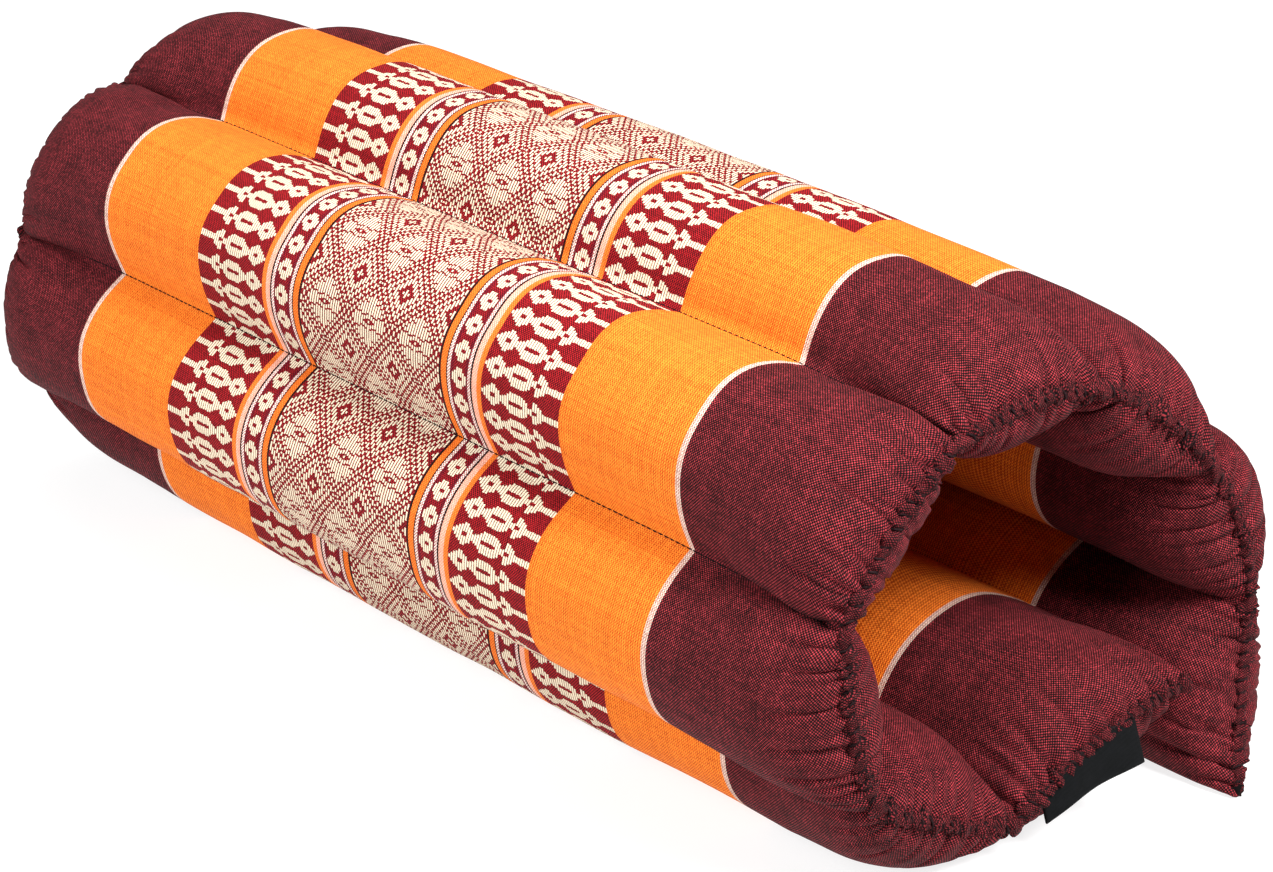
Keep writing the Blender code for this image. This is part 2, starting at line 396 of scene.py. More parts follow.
def gathered(side):
    """The skin of one face with its gathers and the slight unevenness of its filling."""
    skin, (along, across) = skins[side], cloth[side]
    made = skin.copy()
    reach = TAPER_ROWS + FOLD_ROWS + 1
    middle = skin[middle_row, 1:-1]
    made[:reach, 1:-1] = gather(skin[:reach, 1:-1], middle, side, -1)
    made[-reach:, 1:-1] = gather(skin[-reach:, 1:-1][::-1], middle, side, 1)[::-1]
    normal = unit_normals(skin, side)
    move = np.zeros(along.shape)
    for r in range(along.shape[0]):
        for c in range(along.shape[1]):
            spot = Vector((along[r, c] * LUMPS_ALONG, across[r, c] * LUMPS_ACROSS, 3.7 * side))
            move[r, c] = UNEVENNESS * noise.noise(spot)
    place_in = (np.arange(along.shape[1]) - 1) % STEPS
    v = np.abs(2 * spread(STEPS)[place_in] - 1)
    move *= 1 - v ** 10
    move[0] = move[-1] = 0.0
    made += normal * move[:, :, None]
    made[:, :, 2] = np.maximum(made[:, :, 2], 0.0)
    return made


def build_mat():
    """The closed skin: the outer and inner faces share their vertices at the end seams and long edges."""
    made = {side: gathered(side) for side in (1, -1)}
    made[-1][0], made[-1][-1] = made[1][0], made[1][-1]
    width = made[1].shape[1]
    every = list(range(width))
    every_other = [0] + list(range(1, width - 1, 2)) + [width - 1]
    points, faces, cloth_uv, sheet_uv = [], [], [], []
    number = {}
    # in the second UV map the two faces lie side by side, each with a margin round it
    extent = max(np.abs(cloth[1][0]).max(), np.abs(cloth[-1][0]).max()) * 2.02
    around = max(cloth[1][1].max(), cloth[-1][1].max()) * 1.01

    def vertex(side, r, c):
        is_border = r in (0, len(rows) - 1) or c in (0, width - 1)
        key = (1 if is_border else side, r, c)
        if key not in number:
            number[key] = len(points)
            points.append(made[key[0]][r, c])
        return number[key]

    for side in (1, -1):
        along, across = cloth[side]
        for r in range(len(rows) - 1):
            here = every if rows[r][2] else every_other
            there = every if rows[r + 1][2] else every_other
            coarse = min(here, there, key=len)
            for first, last in zip(coarse[:-1], coarse[1:]):
                low = [(r, c) for c in here if first <= c <= last]
                beyond = range(last, first - 1, -1)
                high = [(r + 1, c) for c in beyond if c in (first, last) or len(there) == width]
                ring = low[::-1] + high[::-1] if side > 0 else low + high
                faces.append([vertex(side, *spot) for spot in ring])
                for spot in ring:
                    cloth_uv += [along[spot] - cloth_shift[side][spot], across[spot]]
                    half = 0.0 if side > 0 else 0.5
                    sheet_uv += [across[spot] / around + 0.004, half + 0.25 + along[spot] / extent * 0.49]
    return points, faces, cloth_uv, sheet_uv


def add_piece(name, points, faces, uvs=None):
    """A piece in the scene: a smooth mesh of points and faces, with its UV maps by name."""
    mesh = bpy.data.meshes.new(name)
    mesh.from_pydata([tuple(p) for p in points], [], faces)
    for uv_name, values in (uvs or {}).items():
        mesh.uv_layers.new(name=uv_name).data.foreach_set("uv", values)
    mesh.shade_smooth()
    piece = bpy.data.objects.new(name, mesh)
    scene.collection.objects.link(piece)
    return piece


points, faces, cloth_uv, sheet_uv = build_mat()
mat = add_piece("mat", points, faces, {"cloth": cloth_uv, "OFBake": sheet_uv})


def linear(hex_colour):
    """An sRGB hex colour as the linear values that a shader takes."""
    channels = [int(hex_colour[i:i + 2], 16) / 255 for i in (1, 3, 5)]
    return tuple(c / 12.92 if c <= 0.04045 else ((c + 0.055) / 1.055) ** 2.4 for c in channels) + (1.0,)


def add_node(tree, kind, inputs=None, **settings):
    """Adds one node with its settings, and gives each input that is named its value or its link."""
    node = tree.nodes.new(kind)
    for name, value in settings.items():
        setattr(node, name, value)
    for name, value in (inputs or {}).items():
        if isinstance(value, bpy.types.NodeSocket):
            tree.links.new(value, node.inputs[name])
        else:
            node.inputs[name].default_value = value
    return node


def set_stops(ramp, stops, interpolation="CONSTANT"):
    """Gives a colour ramp its stops: each is a place and a colour, held until the next or blended with it."""
    ramp.color_ramp.interpolation = interpolation
    elements = ramp.color_ramp.elements
    while len(elements) > 1:
        elements.remove(elements[-1])
    elements[0].position, elements[0].color = stops[0]
    for place, colour in stops[1:]:
        elements.new(place).color = colour


# Stripes across the cloth, the same on both sides of its middle: where each starts, in mm from the middle,
# and the colours of its raised threads and of the threads that show between them
Stripe = namedtuple("Stripe", "name start raised between")
INNER_STRIPES = (
    Stripe("middle panel", 40.0, "#A61C23", "#3C070B"),
    Stripe("brown line", 42.6, "#2E100F", "#160606"),
    Stripe("orange band", 43.7, "#F08030", "#BE5012"),
    Stripe("brown line", 46.8, "#2E100F", "#160606"),
    Stripe("twisted line", 47.5, "#FBEEE4", "#9A625A"),
    Stripe("wine edge", 49.2, "#8A1626", "#3A0610"),
    Stripe("red ground", 50.9, "#A21A24", "#40060A"),
    Stripe("wine edge", 57.7, "#8A1626", "#3A0610"),
    Stripe("twisted line", 59.3, "#FBEEE4", "#9A625A"),
    Stripe("brown line", 60.9, "#2E100F", "#160606"),
    Stripe("pale band", 61.9, "#F0B8A2", "#CC8A74"),
    Stripe("orange band", 64.7, "#F08434", "#C45A1C"),
    Stripe("red ground", 67.2, "#AC1B22", "#360407"),
)
OUTER_STRIPES = (
    Stripe("red ground", 100.0, "#AC1B22", "#360407"),
    Stripe("plain orange", 110.5, "#FA8C2E", "#AC4008"),
    Stripe("twisted line", 173.1, "#E4CEC0", "#9C6A5C"),
    Stripe("shot wine", 175.6, "#8C2B32", "#060203"),
)
INNER_SPAN = (40.0, 70.0) # mm from the middle, the reach of each table's colour ramp
OUTER_SPAN = (100.0, 180.0)
SPLIT = 90.0             # where the outer one takes over

# The woven figures, given as charts. The middle panel has ragged flowers of eight petals in a lozenge net,
# with rings between them. A quarter of its repeat is charted, a line for each column of floats from the
# flower's middle outwards: # is cream and . is the ground
PANEL_CHART = (
    "#.##############..##..#",
    "..##.#########..##..#.#",
    ".##.######.##.##..###..",
    "###.#######.##..#.#..##",
    "####.####.##..###..###.",
    "####.##.##..#.#..###..#",
    "####..##..###..###.####",
    "##..##..#.#..###..####.",
    "..##..###..###.#####...",
    "##..#.#..###..####....#",
    "..###..###.#####....###",
)
PANEL_COLUMN = 1.4       # mm
PANEL_ROW = 0.69
PANEL_REPEAT = (28.0, 30.4)
FLOWER_PHASE = 34.5      # from the stitch line under the upper left channel to a flower's middle

# The chains and the small flowers, a number for each column of floats: how many rows it reaches to either
# side of the figure's middle line, with o where the rows next to that line are left open
CHAIN_COLUMNS = "1 3 5 6 8o 8o 6 5 2 3 4 6 8o 8o 8o 8o 8o 8o 7 5 2 2 8o 8o 6 5 2 2 2 2 2 2 2"
CHAIN_COLUMN = 1.31
CHAIN_START = 67.5
CHAIN_REPEAT = 10.13
CHAIN_ROW = 0.46
OPEN_ROWS = 2
SMALL_FLOWER_COLUMNS = "3 5 8 8o 8o 5 3"
SMALL_FLOWER_COLUMN = 1.19
SMALL_FLOWER_START = 50.25

MOST = 2.0 ** 23         # above every column's number

# The thread spacing in mm, drawn coarser than real so that it shows. The real one is near the size of the
# photograph's pixels, and readings of it gave 0.43 to 0.57 mm
THREAD = 0.60


def chart_masks(chart):
    """Each column of a chart as one whole number, with a bit for each place that is a cream float."""
    return [sum(1 << r for r, mark in enumerate(column) if mark == "#") for column in chart]


def figure_masks(columns):
    """The same for a figure given as the number of rows that each column reaches."""
    found = []
    for column in columns.split():
        first = OPEN_ROWS if column.endswith("o") else 0
        found.append(sum(1 << row for row in range(first, int(column.rstrip("o")) + 1)))
    return found


FIRST_LINE = float(cloth[1][1][0][1 + 3 * STEPS]) * 1000
CHARTS = {
    "panel": chart_masks(PANEL_CHART),
    "small": [0] + figure_masks(SMALL_FLOWER_COLUMNS) + [0],
    "chain": [0] + figure_masks(CHAIN_COLUMNS),
}
# The sums behind the weave, in order: the name of each result, the sum, and what goes into it
WEAVE_SUMS = (
    # the place on the cloth in mm, how far it lies from the cloth's middle, and the zone it is in
    ("along", "MULTIPLY", "u", 1000.0),
    ("across", "MULTIPLY", "v", 1000.0),
    ("out", "ABSOLUTE", "along"),
    ("inner from", "SUBTRACT", "out", INNER_SPAN[0]),
    ("inner place", "DIVIDE", "inner from", INNER_SPAN[1] - INNER_SPAN[0]),
    ("outer from", "SUBTRACT", "out", OUTER_SPAN[0]),
    ("outer place", "DIVIDE", "outer from", OUTER_SPAN[1] - OUTER_SPAN[0]),
    ("is outer", "GREATER_THAN", "out", SPLIT),
    ("is panel", "LESS_THAN", "out", INNER_STRIPES[1].start),
    ("is chain", "GREATER_THAN", "out", INNER_STRIPES[-2].start),
    ("is figured", "MAXIMUM", "is panel", "is chain"),
    ("is small", "SUBTRACT", 1.0, "is figured"),
    ("is plain", "GREATER_THAN", "out", OUTER_STRIPES[1].start),
    ("is wine", "GREATER_THAN", "out", OUTER_STRIPES[3].start),
    ("is orange", "SUBTRACT", "is plain", "is wine"),
    # the crossing of the threads: above zero where a raised thread is on top, with a rib in plain orange
    ("along turns", "MULTIPLY", "along", math.pi / THREAD),
    ("across turns", "MULTIPLY", "across", math.pi / THREAD),
    ("wave along", "SINE", "along turns"),
    ("wave across", "SINE", "across turns"),
    ("checker", "MULTIPLY", "wave along", "wave across"),
    ("rib share", "MULTIPLY", "is orange", 0.35),
    ("checker share", "SUBTRACT", 1.0, "rib share"),
    ("rib", "MULTIPLY", "wave along", "rib share"),
    ("crossing", "MULTIPLY_ADD", "checker", "checker share", "rib"),
    ("warp lane", "DIVIDE", "along", THREAD),
    ("warp number", "FLOOR", "warp lane"),
    ("weft lane", "DIVIDE", "across", THREAD),
    ("weft number", "FLOOR", "weft lane"),
    ("both threads", "ADD", "warp thread", "weft thread"),
    ("thickness", "SUBTRACT", "both threads", 1.0),
    ("ground base", "MULTIPLY_ADD", "is plain", 0.18, 0.26),
    ("rise base", "MULTIPLY_ADD", "is wine", -0.42, "ground base"),
    ("even rise", "MULTIPLY_ADD", "crossing", 1.25, "rise base"),
    ("own rise", "SUBTRACT", "crossing chance", 0.5),
    ("uneven rise", "MULTIPLY_ADD", "own rise", 0.40, "even rise"),
    ("rise", "MULTIPLY_ADD", "thickness", 0.16, "uneven rise"),
    ("low cut", "MAXIMUM", "rise", 0.0),
    ("on top", "MINIMUM", "low cut", 1.0),
    # the middle panel: its column and row, mirrored about the flower's middle both ways
    ("flower place", "SUBTRACT", "across", FIRST_LINE + FLOWER_PHASE),
    ("panel along", "PINGPONG", "along", PANEL_REPEAT[0] / 2),
    ("panel lane", "DIVIDE", "panel along", PANEL_COLUMN),
    ("panel cell", "ADD", "panel lane", 0.5),
    ("panel column", "FLOOR", "panel cell"),
    ("every other", "PINGPONG", "panel column", 1.0),
    ("stagger", "MULTIPLY_ADD", "every other", 0.3, 0.35),
    ("panel across", "PINGPONG", "flower place", PANEL_REPEAT[1] / 2),
    ("panel height", "DIVIDE", "panel across", PANEL_ROW),
    ("panel up", "ADD", "panel height", "stagger"),
    ("panel row", "FLOOR", "panel up"),
    # the chains and the small flowers
    ("chain from", "SUBTRACT", "flower place", CHAIN_REPEAT / 2),
    ("chain across", "PINGPONG", "chain from", CHAIN_REPEAT / 2),
    ("chain height", "DIVIDE", "chain across", CHAIN_ROW),
    ("chain raw", "ADD", "chain height", 0.1),
    ("chain up", "MULTIPLY_ADD", "warp thread", 0.8, "chain raw"),
    ("chain row", "FLOOR", "chain up"),
    ("chain along", "SUBTRACT", "out", CHAIN_START),
    ("chain cell", "DIVIDE", "chain along", CHAIN_COLUMN),
    ("chain column", "FLOOR", "chain cell"),
    ("small along", "SUBTRACT", "out", SMALL_FLOWER_START),
    ("small cell", "DIVIDE", "small along", SMALL_FLOWER_COLUMN),
    ("small column", "FLOOR", "small cell"),
    # where each column stands in its chart, and the number that is read there
    *(row for figure, shift in (("panel", 0.5), ("small", 1.5), ("chain", 1.5)) for row in (
        (f"{figure} shift", "ADD", f"{figure} column", shift),
        (f"{figure} look", "DIVIDE", f"{figure} shift", float(len(CHARTS[figure]))),
        (f"{figure} times", "MULTIPLY", f"{figure} grey", MOST),
        (f"{figure} number", "ROUND", f"{figure} times"),
    )),
    ("before pale", "LESS_THAN", "out", INNER_STRIPES[10].start),
    ("small here", "MULTIPLY", "is small", "before pale"),
    ("before orange", "SUBTRACT", 1.0, "is plain"),
    ("chain here", "MULTIPLY", "is chain", "before orange"),
    ("panel part", "MULTIPLY", "panel number", "is panel"),
    ("small part", "MULTIPLY_ADD", "small number", "small here", "panel part"),
    ("number", "MULTIPLY_ADD", "chain number", "chain here", "small part"),
    ("not panel", "SUBTRACT", 1.0, "is panel"),
    ("other row", "MULTIPLY", "chain row", "not panel"),
    ("row", "MULTIPLY_ADD", "panel row", "is panel", "other row"),
    ("row power", "POWER", 2.0, "row"),
    ("row weight", "ROUND", "row power"),
    ("rows up", "DIVIDE", "number", "row weight"),
    ("rows cut", "FLOOR", "rows up"),
    ("is cream", "MODULO", "rows cut", 2.0),
    # a float is rounded across: painted shade darkens its edges, and its middle stays the light cream
    ("panel cell part", "MULTIPLY", "panel cell", "is panel"),
    ("small cell part", "MULTIPLY_ADD", "small cell", "is small", "panel cell part"),
    ("cell", "MULTIPLY_ADD", "chain cell", "is chain", "small cell part"),
    ("cell place", "FRACT", "cell"),
    ("off middle", "SUBTRACT", "cell place", 0.5),
    ("off", "ABSOLUTE", "off middle"),
    ("half width", "MULTIPLY_ADD", "is panel", -0.08, 0.47),
    ("off share", "DIVIDE", "off", "half width"),
    ("fall", "POWER", "off share", 2.2),
    ("rounded", "SUBTRACT", 1.0, "fall"),
    ("roundness", "MAXIMUM", "rounded", 0.0),
    ("edge", "MULTIPLY", "roundness", 3.0),
    ("edge cut", "MINIMUM", "edge", 1.0),
    ("is float", "MULTIPLY", "is cream", "edge cut"),
    # slubs and uneven dye, painted glints on the wine, painted shade for the seams, and the height of the
    # surface
    ("swing", "MULTIPLY_ADD", "is wine", 1.25, 0.25),
    ("patch", "SUBTRACT", "patches", 0.5),
    ("dye", "MULTIPLY", "patch", "swing"),
    ("thread shade", "MULTIPLY_ADD", "thickness", 0.06, 1.0),
    # painted glints: about a fifth of the wine's thread crossings are drawn lighter, for glints of light on
    # them
    ("is painted glint", "GREATER_THAN", "crossing chance", 0.78),
    ("bright speck", "MULTIPLY", "is painted glint", "is wine"),
    ("lightness with painted glints", "MULTIPLY_ADD", "bright speck", 0.28, "thread shade"),
    ("clean", "ADD", "dye", "lightness with painted glints"),
    # the cloth of a seam is drawn darker by the last argument: painted shade
    ("lightness", "MULTIPLY", "clean", "cleanness"),
    ("low height", "MULTIPLY", "crossing", 0.10),
    ("height", "MULTIPLY_ADD", "is float", 0.22, "low height"),
)


def start_material(name, constants):
    """A new material, its node tree and its shader, with constants on the shader's own sockets."""
    made = bpy.data.materials.new(name)
    made.use_nodes = True
    shader = made.node_tree.nodes["Principled BSDF"]
    for socket, value in constants.items():
        shader.inputs[socket].default_value = value
    return made, made.node_tree, shader


def woven_cotton(name, cleanness):
    """Plain-woven cotton, striped, with cream figures floated over it: matt, dry, faintly ribbed cloth.
    Its wine ends are shot, red over black, which gives them a pinpoint checker; the bright specks on them are
    painted glints.
    The last argument is 1 for the open cloth; less darkens the whole colour with painted shade, for the cloth
    of a seam that lies in shade."""
    made, tree, shader = start_material(name, {
        "Roughness": 0.82,
        "Sheen Weight": 0.02,
        "Sheen Roughness": 0.45,
        "Sheen Tint": linear("#F2B8B8"),
        "Specular IOR Level": 0.1,
    })

    uv = add_node(tree, "ShaderNodeUVMap", uv_map="cloth").outputs[0]
    parts = add_node(tree, "ShaderNodeSeparateXYZ", {0: uv})
    clouds = {"Vector": uv, "Scale": 95.0, "Detail": 3.0, "Roughness": 0.6}
    patches = add_node(tree, "ShaderNodeTexNoise", clouds).outputs[0]
    found = {"u": parts.outputs[0], "v": parts.outputs[1], "patches": patches, "cleanness": cleanness}
    waiting = []

    # each thread has a thickness of its own
    for name in ("warp", "weft"):
        lane = add_node(tree, "ShaderNodeTexWhiteNoise", noise_dimensions="1D")
        found[f"{name} thread"] = lane.outputs[0]
        waiting.append((f"{name} number", lane.inputs["W"]))
    place = add_node(tree, "ShaderNodeCombineXYZ")
    chance = add_node(tree, "ShaderNodeTexWhiteNoise", {"Vector": place.outputs[0]})
    found["crossing chance"] = chance.outputs[0]
    waiting += [("warp number", place.inputs[0]), ("weft number", place.inputs[1])]

    # the stripes
    colours = {}
    for shade in ("raised", "between"):
        for name, stripes, (first, last) in (
            ("inner", INNER_STRIPES, INNER_SPAN),
            ("outer", OUTER_STRIPES, OUTER_SPAN),
        ):
            ramp = add_node(tree, "ShaderNodeValToRGB")
            span = last - first
            set_stops(ramp, [((s.start - first) / span, linear(getattr(s, shade))) for s in stripes])
            colours[name, shade] = ramp.outputs[0]
            waiting.append((f"{name} place", ramp.inputs[0]))

    # the charts, each as a ramp of numbers
    for name, masks in CHARTS.items():
        ramp = add_node(tree, "ShaderNodeValToRGB")
        changes = [i for i, mask in enumerate(masks) if i == 0 or mask != masks[i - 1]]
        set_stops(ramp, [(i / len(masks), (masks[i] / MOST,) * 3 + (1.0,)) for i in changes])
        found[f"{name} grey"] = add_node(tree, "ShaderNodeSeparateColor", {0: ramp.outputs[0]}).outputs[0]
        waiting.append((f"{name} look", ramp.inputs[0]))

    for name, operation, *terms in WEAVE_SUMS:
        inputs = {i: found[term] if isinstance(term, str) else term for i, term in enumerate(terms)}
        found[name] = add_node(tree, "ShaderNodeMath", inputs, operation=operation).outputs[0]
    for name, socket in waiting:
        tree.links.new(found[name], socket)

    # a float's edge colour is painted shade, and its middle colour is the cream itself
    cream = (linear("#7A5444"), linear("#E8DABE"))
    layers = []
    for share, under, over in (
        ("is outer", colours["inner", "between"], colours["outer", "between"]),
        ("is outer", colours["inner", "raised"], colours["outer", "raised"]),
        ("on top", 0, 1),
        ("roundness", *cream),
        ("is float", 2, 3),
    ):
        ends = {
            6: layers[under] if isinstance(under, int) else under,
            7: layers[over] if isinstance(over, int) else over,
        }
        mix = add_node(tree, "ShaderNodeMix", {0: found[share], **ends}, data_type="RGBA")
        layers.append(mix.outputs[2])
    light = {0: layers[-1], "Scale": found["lightness"]}
    shaded = add_node(tree, "ShaderNodeVectorMath", light, operation="SCALE")
    tree.links.new(shaded.outputs[0], shader.inputs["Base Color"])
    relief = {"Height": found["height"], "Strength": 0.9, "Distance": 0.001}
    bump = add_node(tree, "ShaderNodeBump", relief)
    tree.links.new(bump.outputs[0], shader.inputs["Normal"])
    return made


cotton = woven_cotton("woven_cotton", 1.0)
mat.data.materials.append(cotton)
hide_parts("cushion")
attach(mat, "root")

# The end seams: the two layers of the case are turned in, gathered and whipped together with dark thread
# into a lumpy cord of cloth. It runs along every channel's end, and kinks at each stitch line.
ROPE_RADIUS = 0.0028
ROPE_STEP = 0.0006
ROPE_SIDES = 14
ROPE_LOWEST = 0.8        # of its radius, how near the floor its middle comes
ROPE_WIDTHS = (0.9, 1.15) # along X and across it, as shares of its radius
SWELL = 0.55             # how much the cord's radius varies along it, as a share
SWELLS_PER_METRE = 260
LUMP = 0.90              # and how much round it
LUMPS_PER_METRE = 330
LUMPS_ROUND = 1.6
SEAM_POINTS = 60         # across a channel
GROOVE = 0.64            # how far the thread draws the cord in, as a share of its radius
THREAD_RADIUS = 0.00045
THREAD_DEPTH = 0.6       # how deep it lies in that groove
THREAD_LIFT = 0.0003     # of its middle off the drawn-in cord
THREAD_BACK = 0.0007     # and how far it is drawn back along X
THREAD_WIDTHS = (1.25, 1.1)
THREAD_SIDES = 6


def seam_point(index, u, end):
    """A point of an end seam, at the middle of its thickness."""
    v = abs(2 * u - 1)
    start, last = stitch_point(index, end), stitch_point(index + 1, end)
    bow = outward(index, end) * CHANNELS[index].bow * CM * (1 - v ** INNER_POWER)
    point = start + (last - start) * u + bow
    return Vector((along_x(index, u, end), point.x, max(point.y, ROPE_RADIUS * ROPE_LOWEST)))


def seam_path(end):
    """The whole end seam as points at even steps."""
    raw = [seam_point(i, j / SEAM_POINTS, end) for i in range(len(CHANNELS)) for j in range(SEAM_POINTS)]
    raw.append(seam_point(len(CHANNELS) - 1, 1.0, end))
    gaps = [(b - a).length for a, b in zip(raw[:-1], raw[1:])]
    lengths = np.concatenate([[0.0], np.cumsum(gaps)])
    wanted = np.arange(0.0, lengths[-1], ROPE_STEP)
    columns = [np.interp(wanted, lengths, [p[axis] for p in raw]) for axis in range(3)]
    path = np.array(columns).T
    for _ in range(3):
        path[1:-1] = (path[:-2] + path[1:-1] * 2 + path[2:]) / 4
    return wanted, path


def rope_frame(path):
    """For each point of a path, two directions across it, the first close to X."""
    tangent = np.gradient(path, axis=0)
    tangent /= np.linalg.norm(tangent, axis=1, keepdims=True)
    first = np.array([1.0, 0.0, 0.0]) - tangent * tangent[:, :1]
    first /= np.linalg.norm(first, axis=1, keepdims=True)
    return first, np.cross(tangent, first)


def add_tube(name, rings, strip=None):
    """A closed tube through rings of points, with a cap at each end. Its strip of the cloth is given by where
    it starts along the mat, how wide it is, and how much of it each ring takes."""
    count = len(rings[0])
    points = [p for ring in rings for p in ring]
    faces = []
    for r in range(len(rings) - 1):
        for i in range(count):
            j = (i + 1) % count
            faces.append((r * count + i, r * count + j, (r + 1) * count + j, (r + 1) * count + i))
    faces.append(tuple(range(count - 1, -1, -1)))
    faces.append(tuple(range((len(rings) - 1) * count, len(rings) * count)))
    if strip is None:
        return add_piece(name, points, faces)
    start, width, step = strip
    values = []
    for r in range(len(rings) - 1):
        for i in range(count):
            for at, side in ((r, i), (r, i + 1), (r + 1, i + 1), (r + 1, i)):
                values += [start + side / count * width, at * step]
    values += [start, 0.0] * (2 * count)
    return add_piece(name, points, faces, {"cloth": values})


# The cord's cloth is the same cotton drawn at 0.62 of its lightness: painted shade for the gathered seam.
seam_cotton_painted_shade = woven_cotton("seam_cotton_painted_shade", 0.62)
for end, end_name in ((1, "near"), (-1, "far")):
    lengths, path = seam_path(end)
    corners = [seam_point(i, 0.0, end) for i in range(len(CHANNELS))]
    corners.append(seam_point(len(CHANNELS) - 1, 1.0, end))
    at = [lengths[np.argmin(np.linalg.norm(path - np.array(corner), axis=1))] for corner in corners]
    marks = []
    for index in range(len(CHANNELS)):
        marks += [at[index] + (at[index + 1] - at[index]) * s.share for s in stitches[end, index]]
    marks = [0.0] + sorted(marks) + [float(lengths[-1])]
    first, second = rope_frame(path)
    angles = np.linspace(0, 2 * np.pi, ROPE_SIDES, endpoint=False)
    rings, thread_path = [], []
    for k in range(len(path)):
        swell = 1 + SWELL * noise.noise(Vector((lengths[k] * SWELLS_PER_METRE, 4.2 * end, 0.0)))
        turn_at = 2 * math.pi * float(np.interp(lengths[k], marks, range(len(marks))))
        ring = []
        for angle in angles:
            c, s = math.cos(angle), math.sin(angle)
            groove = max(0.0, math.cos(angle - turn_at)) ** 4
            spot = Vector((lengths[k] * LUMPS_PER_METRE, c * LUMPS_ROUND, s * LUMPS_ROUND))
            lump = 1 + LUMP * noise.noise(spot)
            radius = ROPE_RADIUS * swell * lump * (1 - GROOVE * groove)
            point = path[k] + first[k] * c * radius * ROPE_WIDTHS[0]
            ring.append(point + second[k] * s * radius * ROPE_WIDTHS[1])
        rings.append(ring)
        radius = ROPE_RADIUS * swell * (1 - GROOVE * THREAD_DEPTH) + THREAD_LIFT
        across_it = first[k] * math.cos(turn_at) * THREAD_WIDTHS[0]
        across_it = across_it + second[k] * math.sin(turn_at) * THREAD_WIDTHS[1]
        thread_path.append(path[k] + across_it * radius - np.array([end * THREAD_BACK, 0.0, 0.0]))
    for ring in rings:
        for point in ring:
            point[2] = max(point[2], 0.0)
    rope = add_tube(f"end_seam_{end_name}", rings, (0.2, 0.018, ROPE_STEP * 1.3))
    rope.data.materials.append(seam_cotton_painted_shade)
    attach(rope, "root")

    thread = np.array(thread_path)
    thread[:, 2] = np.maximum(thread[:, 2], THREAD_RADIUS)
    first, second = rope_frame(thread)
    rings = []
    for k in range(len(thread)):
        rings.append([
            thread[k] + (first[k] * math.cos(a) + second[k] * math.sin(a)) * THREAD_RADIUS
            for a in np.linspace(0, 2 * np.pi, THREAD_SIDES, endpoint=False)
        ])
    add_tube(f"whip_thread_{end_name}", rings)


def sewing_thread():
    """Twisted sewing thread: dull, nearly black, and a little mottled."""
    constants = {"Roughness": 0.75, "Specular IOR Level": 0.06}
    made, tree, shader = start_material("sewing_thread", constants)
    place = add_node(tree, "ShaderNodeTexCoord").outputs["Object"]
    ply = add_node(tree, "ShaderNodeTexNoise", {"Vector": place, "Scale": 1600.0, "Detail": 2.0})
    ramp = add_node(tree, "ShaderNodeValToRGB", {0: ply.outputs[0]})
    set_stops(ramp, ((0.3, linear("#080304")), (0.75, linear("#2A1A1C"))), "LINEAR")
    tree.links.new(ramp.outputs[0], shader.inputs["Base Color"])
    relief = {"Height": ply.outputs[0], "Strength": 0.5, "Distance": 0.0002}
    bump = add_node(tree, "ShaderNodeBump", relief)
    tree.links.new(bump.outputs[0], shader.inputs["Normal"])
    return made


black_thread = sewing_thread()
for end_name in ("near", "far"):
    whip = bpy.data.objects[f"whip_thread_{end_name}"]
    whip.data.materials.append(black_thread)
    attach(whip, "root")

# The quilting stitches: a straight line of machine stitches between each two channels, through both faces.
# They lie in the bottom of the valleys, dark against the orange: they take the nearly black sewing thread,
# which is partly the thread's own dark colour and partly painted shade of the valleys.
QUILT_STITCH = 0.0030
QUILT_GAP = 0.0004
QUILT_RADIUS = 0.00032
QUILT_LIFT = 0.00025     # of a stitch's middle off the cloth
QUILT_SIDES = 5
QUILT_RINGS = ((0.0, 0.0, 0.6), (0.5, 1.0, 1.0), (1.0, 0.0, 0.6)) # place, lift and size, as shares

points, faces = [], []
for index in range(1, len(STITCH_LINES) - 1):
    for side in (1, -1):
        count = int(LENGTH / QUILT_STITCH) - 2
        for k in range(count):
            x_first = -LENGTH / 2 + (k + 1) * QUILT_STITCH + QUILT_GAP / 2
            base = len(points)
            for part, lift, size in QUILT_RINGS:
                x = x_first + (QUILT_STITCH - QUILT_GAP) * part
                place = x / (LENGTH / 2)
                normal = stitch_normal(index, place) * side
                at = stitch_point(index, place) + normal * (STITCH_THICKNESS / 2 + QUILT_LIFT * lift)
                cross = Vector((-normal.y, normal.x))
                for a in range(QUILT_SIDES):
                    turn_at = 2 * math.pi * a / QUILT_SIDES
                    spot = at + (normal * math.cos(turn_at) + cross * math.sin(turn_at)) * QUILT_RADIUS * size
                    points.append((x, spot.x, max(spot.y, 0.0)))
            for low in (base, base + QUILT_SIDES):
                for a in range(QUILT_SIDES):
                    b = (a + 1) % QUILT_SIDES
                    faces.append((low + a, low + b, low + QUILT_SIDES + b, low + QUILT_SIDES + a))
            faces.append(tuple(base + a for a in range(QUILT_SIDES - 1, -1, -1)))
            faces.append(tuple(base + 2 * QUILT_SIDES + a for a in range(QUILT_SIDES)))
quilting = add_piece("quilting_stitches", points, faces)
quilting.data.materials.append(black_thread)
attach(quilting, "root")

# The label: a short length of black satin tape, folded once and sewn into the end seam of the inner channel.
# It hangs below the seam and stays bare.
LABEL_FROM = 0.32        # along that channel's end seam, from the inner edge
LABEL_TO = 0.85
LABEL_DROP_FROM = 0.0160 # how far it hangs from the seam at each end
LABEL_DROP_TO = 0.0090
LABEL_OVERLAP = 0.0015   # how far it reaches up into the end seam
LABEL_LEAN = 0.38        # how far it leans away from the end for each unit of drop
LABEL_BACK = 0.0003
LABEL_LOOP = 0.0010      # between the tape's two layers
LABEL_RIPPLE = 0.0005
LABEL_FLAT = (0.046, 0.0315)
LABEL_STEPS = 40
LABEL_ROWS = 12          # in each of its two layers
TAPE = 0.00022
TAPE_RIB = 0.0005

